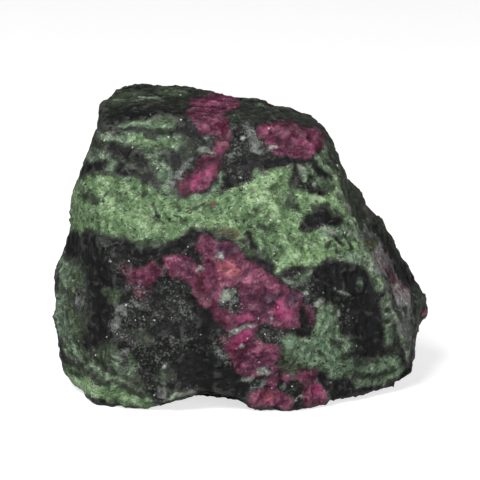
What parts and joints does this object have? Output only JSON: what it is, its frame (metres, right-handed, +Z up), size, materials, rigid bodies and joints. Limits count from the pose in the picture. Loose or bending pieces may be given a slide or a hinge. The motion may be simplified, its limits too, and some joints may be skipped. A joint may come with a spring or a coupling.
{
  "type": "ruby in zoisite",
  "caption": "Palm-sized rough chunk of ruby in zoisite, broken on every side, with a sharp ridge down its right, standing on its own levelled foot.",
  "frame": {"origin": "middle of the stone's box, at the height of the surface it stands on", "axes": "+X to the stone's right as its broad front face is looked at, along its longest extent, +Y from the front face to the back, +Z up"},
  "size_m": [0.0678, 0.0448, 0.0524],
  "materials": {
    "stone": "rough broken stone: green zoisite, black hornblende and ruby"
  },
  "bodies": {
    "root": {"ruby_in_zoisite": "stone"}
  },
  "joints": []
}
